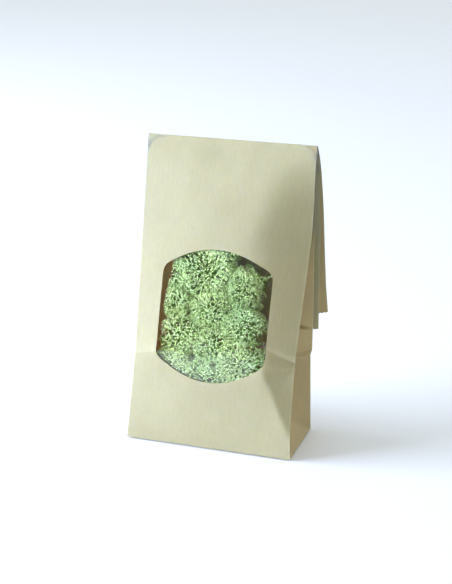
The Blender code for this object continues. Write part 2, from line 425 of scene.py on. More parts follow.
def right_tuck(z, share):
    """How far the right gusset stands in, by height and share of the way to the back."""
    falling = table_value(TUCK_RIGHT_LOW, np.maximum(z + LOW_FALL * (share - 0.5), TUCK_START))
    low_end = TUCK_RIGHT_LOW[-1][0] - LOW_FALL * (share - 0.5)
    high_at = HIGH_START[0] + HIGH_START[1] * (share - 0.5)
    lean = np.clip((z - low_end) / np.maximum(high_at - low_end, 1), 0, 1)
    leaning = TUCK_RIGHT_LOW[-1][1] + (TUCK_RIGHT_HIGH[0][1] - TUCK_RIGHT_LOW[-1][1]) * lean
    upright = table_value(TUCK_RIGHT_HIGH, z)
    return np.where(z < low_end, falling, np.where(z < high_at, leaning, upright))


def dents(x, z, seed):
    """Handling dents of the sheet, in millimetres."""
    height = scene_settings()[0].crumple / MM
    (large, whole), (small, part) = DENT_SIZES
    return height * (whole * rough(x, z, large, seed) + part * rough(x, z, small, seed + 5.0))


def tube_points(t, panel, s):
    """Places of the sheet's grid: rows at station numbers, columns at a panel and a share across it."""
    values = stations_at(t)
    front_y, front_z, back_y, back_z, front_half, back_half = (values[:, i][:, None] for i in range(6))
    body = (t < 2.0)[:, None]
    back_y = back_y + np.where(body, table_value(BACK_STEP, back_z), 0.0)
    depth = np.hypot(back_y - front_y, back_z - front_z)
    share = s[None, :]
    height = front_z
    ones = np.ones((len(t), len(s)))

    relief_here = np.where(body, front_relief((2 * share - 1) * front_half, height * ones), 0.0)
    hang_from, hang_over = HANG
    hang = np.clip((t - hang_from)[:, None] / hang_over, 0, 1)
    relief_flap = hang * FLAP_SWELL * np.cos(math.pi * (2 * share - 1) / 2)
    relief_front = np.where(body, relief_here, relief_flap)
    edge_relief = {}
    for side in (-1, 1):
        at_edge = front_relief(side * front_half, height)
        edge_relief[side] = np.where(body, at_edge, 0.0)

    flat_tuck = np.sqrt(np.clip(BASE_HALF_DEPTH**2 - (depth / 2) ** 2, 0, None))
    x = np.zeros_like(ones)
    n = np.zeros_like(ones)
    for number in range(4):
        columns = panel == number
        part = share[:, columns]
        if number == 0:
            x[:, columns] = (2 * part - 1) * front_half
            n[:, columns] = -relief_front[:, columns]
            continue
        if number == 2:
            across = (1 - 2 * part) * back_half
            x[:, columns] = across
            centre, reach = BACK_FILLED
            filled = np.exp(-(((height - centre) / reach) ** 2)) * np.clip(height / 15, 0, 1)
            swell = np.where(body, filled, 0.4 * hang)
            n[:, columns] = depth + BACK_SWELL * swell * np.cos(math.pi * across / (2 * back_half))
            continue
        side = 1 if number == 1 else -1
        towards_back = part if side > 0 else 1 - part
        edge = front_half + (back_half - front_half) * towards_back
        near_n = -edge_relief[side]
        place_n = near_n + (depth - near_n) * towards_back
        body_tuck = right_tuck(height, towards_back) if side > 0 else table_value(TUCK_LEFT, height)
        tucked = np.where(body, body_tuck, FLAP_TUCK_SHARE * flat_tuck)
        rise = np.where(body, height / TUCK_START, 1.0)
        fold = np.minimum(np.minimum(2 * towards_back, 2 - 2 * towards_back), rise)
        x[:, columns] = side * (edge - tucked * fold)
        n[:, columns] = place_n
    away = np.stack([(back_y - front_y) / depth, (back_z - front_z) / depth])
    y = front_y + away[0] * n
    z = front_z + away[1] * n
    return x, y, z


def window_outline(points_on_arch=24):
    """The window's edge as x and z: upright sides, an arched bottom and top, small round corners."""
    half, (side_low, side_high), (drop, rise) = WINDOW_HALF, WINDOW_SIDE, WINDOW_RISE
    xs = np.linspace(-half, half, points_on_arch)
    bulge = 1 - (xs / half) ** 2
    bottom = [Vector((x, side_low - drop * b)) for x, b in zip(xs, bulge)]
    top = [Vector((-x, side_high + rise * b)) for x, b in zip(xs, bulge)]
    corners = bottom + top
    sharp = {0, points_on_arch - 1, points_on_arch, 2 * points_on_arch - 1}
    rounded = []
    for i, corner in enumerate(corners):
        near_sharp = {(i - 1) % len(corners), (i + 1) % len(corners)} & sharp
        if i not in sharp:
            if not near_sharp:
                rounded.append(corner)
            continue
        before = (corners[i - 1] - corner).normalized()
        after = (corners[(i + 1) % len(corners)] - corner).normalized()
        start = corner + before * WINDOW_CORNER
        end = corner + after * WINDOW_CORNER
        for step in range(7):
            w = step / 6
            rounded.append(start.lerp(corner, w).lerp(corner.lerp(end, w), w))
    return [(p.x + WINDOW_X, p.y) for p in rounded]


def window_cutter():
    """A short prism that crosses the front panel and nothing behind it."""
    outline = window_outline()
    deselect_all()
    bpy.ops.mesh.primitive_circle_add(vertices=len(outline), fill_type="NGON")
    cutter = name_active("window_cutter")
    for vert, (x, z) in zip(cutter.data.vertices, outline):
        vert.co = (x * MM, (front_line(z) - CUTTER[0]) * MM, z * MM)
    bpy.ops.object.mode_set(mode="EDIT")
    bpy.ops.mesh.select_all(action="SELECT")
    bpy.ops.mesh.extrude_region_move(TRANSFORM_OT_translate={"value": (0, CUTTER[1] * MM, 0)})
    bpy.ops.mesh.select_all(action="SELECT")
    bpy.ops.mesh.normals_make_consistent(inside=False)
    bpy.ops.object.mode_set(mode="OBJECT")
    return cutter


def sheet_grid():
    """The flat sheet: station numbers of its rows, and the panel and share across it of its columns."""
    t = np.concatenate([np.linspace(a, b, n, endpoint=False) for a, b, n in ROWS] + [[7.0]])
    panel = np.concatenate([np.full(n, i) for i, n in enumerate(COLUMNS)] + [[3]])
    share = np.concatenate([np.arange(n) / n for n in COLUMNS] + [[1.0]])
    return t, panel, share


def sheet_map(mesh, t, panel, share):
    """A UV map of the unfolded sheet, one unit to a decimetre: across the tube, then along it."""
    across = PANEL_STARTS[panel] + share * PANEL_WIDTHS[panel]
    steps = np.hypot(*np.diff(stations_at(t)[:, :2], axis=0).T)
    along = np.concatenate([[0], np.cumsum(steps)])
    grid = np.stack(np.meshgrid(across, along), axis=-1).reshape(-1, 2) / SHEET_UNIT
    corner_verts = np.zeros(len(mesh.loops), np.int32)
    mesh.loops.foreach_get("vertex_index", corner_verts)
    layer = mesh.uv_layers.active
    layer.name = "sheet"
    layer.data.foreach_set("uv", grid[corner_verts].astype(np.float32).ravel())


def fold_sheet():
    """The sheet as a fine grid, folded into the tube and closed at its seam and base."""
    t, panel, share = sheet_grid()
    deselect_all()
    bpy.ops.mesh.primitive_grid_add(x_subdivisions=len(panel) - 1, y_subdivisions=len(t) - 1, size=1)
    bag = name_active("paper_bag_folded")
    x, y, z = tube_points(t, panel, share)
    unrolled = np.cumsum(np.concatenate([[0], np.diff(panel + share)]))
    bumps = dents(*np.meshgrid(unrolled * DENT_STRETCH, t * DENT_STRETCH), 3.0)
    calm = np.clip(np.minimum(share, 1 - share) * 8, 0, 1) * np.clip(t * 8, 0, 1)[:, None]
    y = y + bumps * calm * np.where(np.isin(panel, (0, 2)), 1.0, 0.0)
    z[-1] -= (np.arange(len(panel)) % 2) * MOUTH_TEETH
    z += BASE_LIFT * np.clip(1 - z / 4, 0, 1)
    places = np.stack([x, y, z], axis=-1).reshape(-1, 3) * MM
    bag.data.vertices.foreach_set("co", places.astype(np.float32).ravel())
    sheet_map(bag.data, t, panel, share)
    bag.data.update()
    bpy.ops.object.mode_set(mode="EDIT")
    bpy.ops.mesh.select_all(action="SELECT")
    bpy.ops.mesh.remove_doubles(threshold=0.01 * MM)
    bpy.ops.mesh.select_all(action="DESELECT")
    bpy.ops.object.mode_set(mode="OBJECT")
    for edge in bag.data.edges:
        edge.select = all(bag.data.vertices[i].co.z < (BASE_LIFT + 0.01) * MM for i in edge.vertices)
    bpy.ops.object.mode_set(mode="EDIT")
    bpy.ops.mesh.edge_face_add()
    bpy.ops.mesh.select_all(action="SELECT")
    bpy.ops.mesh.normals_make_consistent(inside=False)
    bpy.ops.object.mode_set(mode="OBJECT")
    return bag


def glue_base_flaps(bag):
    """The two flaps that close the base, one on the other, joined to the bag."""
    for front, back, low, high in BASE_FLAPS:
        deselect_all()
        middle = Vector((0, (front + back) / 2, (low + high) / 2)) * MM
        bpy.ops.mesh.primitive_cube_add(size=MM, location=middle)
        flap = name_active("base_flap")
        flap.scale = (2 * BASE_HALF_WIDTH - 5.0, back - front, high - low)
        bpy.ops.object.transform_apply(location=True, rotation=False, scale=True)
        flap.data.uv_layers.active.name = "sheet"
        bag.select_set(True)
        bpy.context.view_layer.objects.active = bag
        bpy.ops.object.join()


def make_paper_bag():
    paper = scene_settings()[0]
    bag = fold_sheet()
    thicken = bag.modifiers.new("thickness", "SOLIDIFY")
    thicken.thickness = paper.thickness
    thicken.offset = -1.0
    apply_modifiers(bag)
    cutter = window_cutter()
    make_active(bag)
    cut = bag.modifiers.new("window", "BOOLEAN")
    cut.operation = "DIFFERENCE"
    cut.object = cutter
    apply_modifiers(bag)
    bpy.data.objects.remove(cutter)
    glue_base_flaps(bag)
    make_active(bag)
    bpy.ops.object.shade_smooth_by_angle(angle=SHARPEST_SMOOTH_FOLD)
    return bag


# The film


def make_film():
    paper, film, _, _ = scene_settings()
    columns, rows = 40, 44
    deselect_all()
    bpy.ops.mesh.primitive_grid_add(x_subdivisions=columns, y_subdivisions=rows, size=1)
    sheet = name_active("window_film_clear")
    count = len(sheet.data.vertices)
    flat = np.zeros(count * 3)
    sheet.data.vertices.foreach_get("co", flat)
    flat = flat.reshape(-1, 3)
    half = WINDOW_HALF + FILM_LAP
    low = WINDOW_SIDE[0] - WINDOW_RISE[0] - FILM_LAP
    high = WINDOW_SIDE[1] + WINDOW_RISE[1] + FILM_LAP
    x = WINDOW_X + flat[:, 0] * 2 * half
    z = low + (flat[:, 1] + 0.5) * (high - low)
    waves = film.waviness / MM * rough(x, z, 11.0, 9.0)
    y = front_line(z) - front_relief(x, z) + paper.thickness / MM + FILM_STANDOFF + waves
    places = np.stack([x, y, z], axis=1) * MM
    sheet.data.vertices.foreach_set("co", places.ravel())
    sheet.data.update()
    thicken = sheet.modifiers.new("thickness", "SOLIDIFY")
    thicken.thickness = film.thickness
    thicken.offset = -1.0
    apply_modifiers(sheet)
    bpy.ops.object.shade_smooth()
    return sheet


# The lichen


class Branches:
    """Collects strands and prongs and turns them into one mesh."""

    def __init__(self):
        self.rows = []

    def add(self, start, end, start_width, end_width, start_age_and_shade, end_age_and_shade, tone):
        self.rows.append((*start, *end, start_width, end_width, start_age_and_shade, end_age_and_shade, tone))

    def tubes(self, rng, rings, sides):
        """Closed tapered tubes, as vertices, quads, end caps, ages with painted shade, and tones. Three rings
        let one bend.
        """
        table = np.array(self.rows)
        start, end, widths, ages_and_shade, tones = np.split(table, (3, 6, 8, 10), axis=1)
        direction = end - start
        length = np.linalg.norm(direction, axis=1, keepdims=True)
        direction = direction / np.maximum(length, 1e-9)
        side, up = frames_along(direction)
        bend = rng.normal(0, 0.09, (len(start), 2)) * length
        turn = rng.uniform(0, 2 * math.pi, len(start))
        verts = []
        age_and_shade = []
        for ring in range(rings):
            w = ring / (rings - 1)
            bow = 4 * w * (1 - w)
            place = start + (end - start) * w + (side * bend[:, :1] + up * bend[:, 1:]) * bow
            width = widths[:, 0] + (widths[:, 1] - widths[:, 0]) * w
            for k in range(sides):
                angle = turn + 2 * math.pi * k / sides
                offset = side * np.cos(angle)[:, None] + up * np.sin(angle)[:, None]
                verts.append(place + offset * width[:, None])
                age_and_shade.append(ages_and_shade[:, 0] + (ages_and_shade[:, 1] - ages_and_shade[:, 0]) * w)
        base = np.arange(len(start))[:, None] * (rings * sides)
        quads = []
        for ring in range(rings - 1):
            for k in range(sides):
                a, b = ring * sides + k, ring * sides + (k + 1) % sides
                quads.append(base + [a, b, b + sides, a + sides])
        last = (rings - 1) * sides
        caps = [base + list(range(sides))[::-1], base + [last + k for k in range(sides)]]
        return (
            np.stack(verts, axis=1).reshape(-1, 3),
            np.concatenate(quads),
            np.concatenate(caps),
            np.stack(age_and_shade, axis=1).ravel(),
            np.repeat(tones.ravel(), rings * sides),
        )


def frames_along(direction):
    """Two unit vectors across each direction."""
    helper = np.where(np.abs(direction[:, 2:3]) < 0.8, [[0, 0, 1.0]], [[1.0, 0, 0]])
    side = np.cross(direction, helper)
    side /= np.linalg.norm(side, axis=1, keepdims=True)
    return side, np.cross(direction, side)


def build_mesh(name, verts, quads, triangles, age_and_shade, tone):
    mesh = bpy.data.meshes.new(name)
    mesh.vertices.add(len(verts))
    mesh.vertices.foreach_set("co", verts.astype(np.float32).ravel())
    mesh.loops.add(quads.size + triangles.size)
    corners = np.concatenate([quads.ravel(), triangles.ravel()])
    mesh.loops.foreach_set("vertex_index", corners.astype(np.int32))
    sizes = np.concatenate([np.full(len(quads), 4), np.full(len(triangles), 3)])
    mesh.polygons.add(len(sizes))
    mesh.polygons.foreach_set("loop_start", np.concatenate([[0], np.cumsum(sizes)[:-1]]).astype(np.int32))
    mesh.update(calc_edges=True)
    for label, values in (("age_and_shade", age_and_shade), ("tone", tone)):
        layer = mesh.attributes.new(label, "FLOAT", "POINT")
        layer.data.foreach_set("value", values.astype(np.float32))
    mesh.shade_smooth()
    mesh.validate()
    return mesh


def spread(points, spacings, rng):
    """Keeps points that stand at least their spacing apart, in random order."""
    size = float(spacings.max())
    cells = {}
    kept = []
    around = [(a, b, c) for a in (-1, 0, 1) for b in (-1, 0, 1) for c in (-1, 0, 1)]
    keys = np.floor(points / size).astype(int).tolist()
    places = points.tolist()
    gaps = (spacings**2).tolist()
    for i in rng.permutation(len(points)).tolist():
        x, y, z = places[i]
        cx, cy, cz = keys[i]
        near = [q for a, b, c in around for q in cells.get((cx + a, cy + b, cz + c), ())]
        if all((q[0] - x) ** 2 + (q[1] - y) ** 2 + (q[2] - z) ** 2 >= gaps[i] for q in near):
            cells.setdefault((cx, cy, cz), []).append((x, y, z))
            kept.append(i)
    return np.array(kept)


def points_on(node, count, rng):
    """Random points on a solid's surface, with their outward normals, and the surface's area."""
    mesh = node.data
    mesh.calc_loop_triangles()
    corners = np.zeros(len(mesh.loop_triangles) * 3, np.int32)
    mesh.loop_triangles.foreach_get("vertices", corners)
    places = np.zeros(len(mesh.vertices) * 3)
    mesh.vertices.foreach_get("co", places)
    triangles = places.reshape(-1, 3)[corners.reshape(-1, 3)]
    edge_a = triangles[:, 1] - triangles[:, 0]
    edge_b = triangles[:, 2] - triangles[:, 0]
    normals = np.cross(edge_a, edge_b)
    areas = np.linalg.norm(normals, axis=1) / 2
    picks = rng.choice(len(triangles), count, p=areas / areas.sum())
    u, v = rng.random((2, count))
    flip = u + v > 1
    u[flip], v[flip] = 1 - u[flip], 1 - v[flip]
    points = triangles[picks, 0] + edge_a[picks] * u[:, None] + edge_b[picks] * v[:, None]
    return points, normals[picks] / (2 * areas[picks])[:, None], areas.sum()


def tree_of(points):
    tree = kdtree.KDTree(len(points))
    for i, point in enumerate(points):
        tree.insert(point, i)
    tree.balance()
    return tree


def gather(points, reach, most, rng):
    """Groups points with their near neighbours, and returns each point's group number."""
    tree = tree_of(points)
    group = np.full(len(points), -1)
    number = 0
    for i in rng.permutation(len(points)):
        if group[i] >= 0:
            continue
        near = sorted((d, j) for _, j, d in tree.find_range(points[i], reach) if group[j] < 0)[:most]
        for _, j in near:
            group[j] = number
        number += 1
    return group, number


def press_forward(points):
    """Moves lichen towards the film, more the nearer it is, as a filled bag presses it."""
    x, y, z = points.T / MM
    line = front_line(z)
    behind = np.maximum(y - line, 0)
    pressed = behind * (behind + PRESS[0]) / (behind + PRESS[1])
    y = line + pressed - front_relief(x, z) * np.clip(1 - behind / PRESS_REACH, 0, 1)
    return np.stack([x, y, z], axis=1) * MM


def in_gap(points):
    """Which points lie in a part of the bag that the filling leaves empty."""
    x, y, z = points.T / MM
    near = y - front_line(z) < GAP_DEPTH
    inside = [((x - a) / w) ** 2 + ((z - b) / h) ** 2 < 1 for a, b, w, h in GAPS]
    return near & np.any(inside, axis=0)


def cushion_tips(node, seen, openness, lichen, rng):
    """Where one cushion's outermost branches end, and which way they point there."""
    _, _, area = points_on(node, 4, rng)
    spacing = lichen.tip_spacing * openness if seen else lichen.hidden_spacing
    count = int(area / spacing**2 * 6)
    points, normals, _ = points_on(node, count, rng)
    centre = points.mean(axis=0)
    in_view = seen & (normals[:, 1] < 0.15)
    low, high = VIEW_HEIGHTS
    in_view &= np.abs(points[:, 0]) < VIEW_HALF_WIDTH * MM
    in_view &= (points[:, 2] > low * MM) & (points[:, 2] < high * MM)
    spacings = np.where(in_view, spacing, lichen.hidden_spacing)
    kept = spread(points, spacings, rng)
    tips, outward, fine = points[kept], normals[kept], in_view[kept]
    if seen:
        cells = points[spread(points, np.full(count, lichen.hole_spacing * openness), rng)]
        tree = tree_of(cells)
        walls = np.array([tree.find(p)[2] for p in tips]) > lichen.hole_size * openness
        tips, outward, fine = tips[walls | ~fine], outward[walls | ~fine], fine[walls | ~fine]
    swell = np.where(fine, lichen.swell, 0.0)[:, None]
    tips = centre + (tips - centre) * (1 + swell * [1.0, 0.2, 1.0])
    shifts = np.array([noise.noise_vector(Vector(p) / (2 * lichen.puff)) for p in tips])
    tips = tips + shifts * [1.0, 0.4, 1.0] * lichen.drift
    # Puffs: the surface sinks along the lines where slow noise changes sign.
    seam = np.array([abs(noise.noise(Vector(p) / lichen.puff)) for p in tips])
    sink = 1.5 * MM * np.clip(1 - seam / 0.16, 0, 1) + rng.uniform(0, 0.5, len(tips)) ** 2 * MM
    tips = tips - outward * np.where(fine, sink, 0.0)[:, None]
    tips = press_forward(tips)
    kept = ~in_gap(tips)
    return tips[kept], outward[kept], press_forward(centre[None, :])[0]


def grow_cushion(node, seen, openness, lichen, rng):
    """One cushion: tips over the solid's surface, joined inwards level by level to its middle."""
    tips, outward, centre = cushion_tips(node, seen, openness, lichen, rng)
    branches = Branches()
    prongs = Branches()
    strand = lichen.strand * (1 + 0.35 * (openness - 1))
    for tip, normal in zip(tips, outward):
        tone = rng.random()
        flat = np.cross(normal, rng.normal(0, 1, 3))
        flat /= np.linalg.norm(flat)
        across = np.cross(normal, flat)
        start = rng.uniform(0, 2 * math.pi)
        for arm in range(PRONGS):
            angle = start + 2 * math.pi * (arm + rng.uniform(-0.25, 0.25)) / PRONGS
            lean = flat * math.cos(angle) + across * math.sin(angle) + normal * rng.uniform(0.0, 0.9)
            lean /= np.linalg.norm(lean)
            reach = lichen.prong * openness * rng.uniform(0.6, 1.1)
            width = strand * rng.uniform(0.85, 1.1)
            prongs.add(tip, tip + lean * reach, width, width * 0.7, 0.9, 1.0, tone)
    nodes = tips
    tone_of = rng.random(len(nodes))
    width_of = np.full(len(nodes), strand)
    depth = 0.0
    for reach, step, most in BRANCH_LEVELS:
        group, number = gather(nodes, reach * openness * MM, most, rng)
        parents = np.zeros((number, 3))
        np.add.at(parents, group, nodes)
        members = np.bincount(group, minlength=number)
        parents /= members[:, None]
        inward = centre - parents
        far = np.linalg.norm(inward, axis=1, keepdims=True)
        parents = parents + inward / np.maximum(far, 1e-6) * np.minimum(step * MM, far * 0.7)
        parents += rng.normal(0, 0.26, parents.shape) * step * MM
        parent_width = np.sqrt(np.bincount(group, weights=width_of**2, minlength=number)) * JOINED_WIDTH
        parent_width = np.minimum(parent_width, WIDEST_BRANCH * MM)
        parent_tone = np.bincount(group, weights=tone_of, minlength=number) / members
        parent_tone = parent_tone * 0.6 + rng.random(number) * 0.4
        # Deeper levels get lower values: older stems, and painted shade inside the cushion.
        age_and_shade_out = 0.9 * math.exp(-depth / AGE_AND_SHADE_REACH)
        depth += step
        age_and_shade_in = 0.9 * math.exp(-depth / AGE_AND_SHADE_REACH)
        for i, g in enumerate(group):
            width_in = min(parent_width[g], width_of[i] * 1.35)
            branches.add(parents[g], nodes[i], width_in, width_of[i], age_and_shade_in, age_and_shade_out, tone_of[i])
        nodes, width_of, tone_of = parents, parent_width, parent_tone
    for i, place in enumerate(nodes):
        branches.add(centre, place, width_of[i] * 1.1, width_of[i], 0.0, 0.02, tone_of[i])
    return branches, prongs


def add_stalk(branches, rng):
    """A bare pale stalk that lies against the film, with a few short side branches."""
    path = [Vector(p) * MM for p in STALK]
    steps = 5
    line = []
    for first, last in zip(path, path[1:]):
        line += [first.lerp(last, step / steps) for step in range(steps)]
    line.append(path[-1])
    line = [p + Vector(rng.normal(0, 0.25, 3)) * MM for p in line]
    for number, (first, last) in enumerate(zip(line, line[1:])):
        branches.add(first, last, 0.52 * MM, 0.5 * MM, 0.8, 0.8, 1.0)
        if number % 2:
            side = Vector(rng.normal(0, 1, 3))
            side.y *= 0.3
            branches.add(last, last + side.normalized() * 2.6 * MM, 0.34 * MM, 0.2 * MM, 0.8, 0.95, 1.0)


def wall_x(side, y, z):
    """Where a gusset's paper stands at a place inside the bag, in millimetres."""
    rows = STATIONS[:3]
    front = np.interp(z, rows[:, 1], rows[:, 0])
    back = np.interp(z, rows[:, 3], rows[:, 2])
    share = np.clip((y - front) / np.maximum(back - front, 1), 0, 1)
    near_half = np.interp(z, rows[:, 1], rows[:, 4])
    half = near_half + (BASE_HALF_WIDTH - near_half) * share
    tucked = right_tuck(z, share) if side > 0 else table_value(TUCK_LEFT, z)
    fold = np.minimum(np.minimum(2 * share, 2 - 2 * share), z / TUCK_START)
    return side * (half - tucked * np.clip(fold, 0, 1))


def keep_inside(verts, paper):
    """Keeps lichen behind the film and between the gussets."""
    x, y, z = verts.T / MM
    film = front_line(z) - front_relief(x, z) + paper.thickness / MM + FILM_STANDOFF
    y = np.maximum(y, film + FILM_CLEARANCE)
    x = np.clip(x, wall_x(-1, y, z) + GUSSET_CLEARANCE, wall_x(1, y, z) - GUSSET_CLEARANCE)
    return np.stack([x, y, np.maximum(z, BASE_CLEARANCE)], axis=1) * MM


def make_cushion(node, seen, lichen, paper):
    number = int(node.name[-2:])
    rng = np.random.default_rng(lichen.seed + number)
    openness = OPEN_CUSHIONS.get(number, 1.0)
    branches, prongs = grow_cushion(node, seen, openness, lichen, rng)
    if number == STALK_CUSHION:
        add_stalk(branches, rng)
    parts = [branches.tubes(rng, 3, 3), prongs.tubes(rng, 2, 3)]
    shift = len(parts[0][0])
    verts, quads, caps, age_and_shade, tone = (
        np.concatenate([first, second + shift if index in (1, 2) else second])
        for index, (first, second) in enumerate(zip(*parts))
    )
    mesh = build_mesh(node.name + "_branches", keep_inside(verts, paper), quads, caps, age_and_shade, tone)
    piece = bpy.data.objects.new(node.name + "_branches", mesh)
    bpy.context.scene.collection.objects.link(piece)
    return piece


# Materials


class Wiring:
    """Short ways to place nodes and join them."""

    def __init__(self, tree):
        self.tree = tree

    def node(self, kind, **values):
        made = self.tree.nodes.new("ShaderNode" + kind)
        for name, value in values.items():
            setattr(made, name, value)
        return made

    def join(self, source, target):
        self.tree.links.new(source, target)

    def mix(self, factor, first, second, blend="MIX"):
        made = self.node("Mix", data_type="RGBA", blend_type=blend)
        for socket, value in ((made.inputs[0], factor), (made.inputs[6], first), (made.inputs[7], second)):
            self.feed(socket, value)
        return made.outputs[2]

    def math(self, operation, first, second=0.0, clamp=False):
        made = self.node("Math", operation=operation, use_clamp=clamp)
        self.feed(made.inputs[0], first)
        self.feed(made.inputs[1], second)
        return made.outputs[0]

    def span(self, value, low, high, to_low=0.0, to_high=1.0):
        made = self.node("MapRange")
        self.feed(made.inputs[0], value)
        for socket, number in zip(made.inputs[1:5], (low, high, to_low, to_high)):
            socket.default_value = number
        return made.outputs[0]

    def feed(self, socket, value):
        if isinstance(value, bpy.types.NodeSocket):
            self.join(value, socket)
        elif isinstance(value, (int, float)):
            socket.default_value = value
        else:
            needs_alpha = len(value) == 3 and len(socket.default_value) == 4
            socket.default_value = (*value, 1.0) if needs_alpha else value

    def bump(self, shader, height, strength, distance):
        """Raises a finish by a height mask."""
        made = self.node("Bump")
        made.inputs["Strength"].default_value = strength
        made.inputs["Distance"].default_value = distance
        self.join(height, made.inputs["Height"])
        self.join(made.outputs["Normal"], shader.inputs["Normal"])


GRAIN_ENTRIES = (
    ("Vector", "Vector"),
    ("Scale", "Float"),
    ("Detail", "Float"),
    ("Dark", "Color"),
    ("Light", "Color"),
)
BLACK = (0.0, 0.0, 0.0)
WHITE = (1.0, 1.0, 1.0)


def grain_group():
    """Cloudy grain: a colour between two, and a mask, at a stated size."""
    group = bpy.data.node_groups.new("grain", "ShaderNodeTree")
    for label, kind in GRAIN_ENTRIES:
        group.interface.new_socket(label, in_out="INPUT", socket_type="NodeSocket" + kind)
    for label, kind in (("Colour", "Color"), ("Mask", "Float")):
        group.interface.new_socket(label, in_out="OUTPUT", socket_type="NodeSocket" + kind)
    wiring = Wiring(group)
    entry = group.nodes.new("NodeGroupInput")
    leave = group.nodes.new("NodeGroupOutput")
    clouds = wiring.node("TexNoise")
    for label in ("Vector", "Scale", "Detail"):
        wiring.join(entry.outputs[label], clouds.inputs[label])
    mask = wiring.span(clouds.outputs["Fac"], 0.3, 0.7)
    colour = wiring.mix(mask, entry.outputs["Dark"], entry.outputs["Light"])
    wiring.join(colour, leave.inputs["Colour"])
    wiring.join(mask, leave.inputs["Mask"])
    return group


def place_grain(wiring, vector, scale, detail, dark, light):
    made = wiring.node("Group")
    made.node_tree = bpy.data.node_groups.get("grain") or grain_group()
    for (label, _), value in zip(GRAIN_ENTRIES, (vector, scale, detail, dark, light)):
        wiring.feed(made.inputs[label], value)
    return made.outputs["Colour"], made.outputs["Mask"]


def new_material(name):
    made = bpy.data.materials.new(name)
    made.use_nodes = True
    return made, Wiring(made.node_tree), made.node_tree.nodes["Principled BSDF"]


def stretched(wiring, vector, scale):
    made = wiring.node("Mapping")
    wiring.join(vector, made.inputs["Vector"])
    made.inputs["Scale"].default_value = scale
    return made.outputs["Vector"]


def paper_material():
    paper = scene_settings()[0]
    made, wiring, shader = new_material("kraft_paper_finish")
    sheet = wiring.node("UVMap", uv_map="sheet").outputs["UV"]
    place = wiring.node("TexCoord").outputs["Object"]
    base = tuple(paper.colour)
    paler = tuple(min(1.0, c * 1.07) for c in base)
    darker = tuple(c * 0.93 for c in base)
    cloudy, _ = place_grain(wiring, place, 38.0, 3.0, darker, paler)
    fibres, fibre_mask = place_grain(
        wiring, stretched(wiring, sheet, (95.0, 12.0, 1.0)), 1.0, 4.0, tuple(c * 0.9 for c in base), paler
    )
    colour = wiring.mix(0.5, cloudy, fibres)
    flecks = wiring.node("TexVoronoi", feature="DISTANCE_TO_EDGE")
    wiring.join(stretched(wiring, sheet, (60.0, 22.0, 1.0)), flecks.inputs["Vector"])
    flecks.inputs["Scale"].default_value = 1.0
    fleck_mask = wiring.span(flecks.outputs["Distance"], 0.0, 0.05, 0.35, 0.0)
    colour = wiring.mix(fleck_mask, colour, tuple(paper.fibre_colour))
    # Thin paler lines where the sheet turns from one panel to the next: rubbed wear on the folds, and a
    # painted highlight along their edges.
    across = wiring.node("SeparateXYZ")
    wiring.join(sheet, across.inputs[0])
    fold_lines = None
    for at in PANEL_STARTS / SHEET_UNIT:
        off = wiring.math("ABSOLUTE", wiring.math("SUBTRACT", across.outputs[0], float(at)))
        line = wiring.span(off, 0.004, 0.011, 1.0, 0.0)
        fold_lines = line if fold_lines is None else wiring.math("MAXIMUM", fold_lines, line)
    rubbed_and_lit = wiring.math("MULTIPLY", fold_lines, wiring.span(fibre_mask, 0.0, 1.0, 0.1, 0.4))
    colour = wiring.mix(rubbed_and_lit, colour, tuple(paper.fold_wear_and_highlight_colour))
    # Painted shade on the right gusset: its colour is darkened and warmed as if it stood in shade.
    middle = float(PANEL_STARTS[1] + PANEL_STARTS[2]) / 2 / SHEET_UNIT
    off = wiring.math("ABSOLUTE", wiring.math("SUBTRACT", across.outputs[0], middle))
    gusset = wiring.span(off, 0.218, 0.227, 1.0, 0.0)
    colour = wiring.mix(gusset, colour, tuple(paper.gusset_painted_shade), "MULTIPLY")
    # The tube's glued seam down the back.
    seam = wiring.math("ABSOLUTE", wiring.math("SUBTRACT", across.outputs[0], SEAM_AT / SHEET_UNIT))
    seam_line = wiring.span(seam, 0.002, 0.006, 0.5, 0.0)
    colour = wiring.mix(seam_line, colour, tuple(paper.fibre_colour))
    wiring.join(colour, shader.inputs["Base Color"])
    shader.inputs["Specular IOR Level"].default_value = 0.45
    shader.inputs["Sheen Weight"].default_value = 0.12
    shader.inputs["Sheen Roughness"].default_value = 0.5
    wiring.join(wiring.span(fibre_mask, 0.0, 1.0, 0.62, 0.74), shader.inputs["Roughness"])
    shader.inputs["Subsurface Weight"].default_value = 0.7
    shader.inputs["Subsurface Radius"].default_value = (1.0, 0.75, 0.3)
    shader.inputs["Subsurface Scale"].default_value = 0.25 * MM
    _, crinkle = place_grain(wiring, place, 160.0, 4.0, BLACK, WHITE)
    ribs = wiring.math("MULTIPLY", fibre_mask, 0.35)
    wiring.bump(shader, wiring.math("ADD", ribs, wiring.math("MULTIPLY", crinkle, 0.65)), 0.35, 0.12 * MM)
    return made


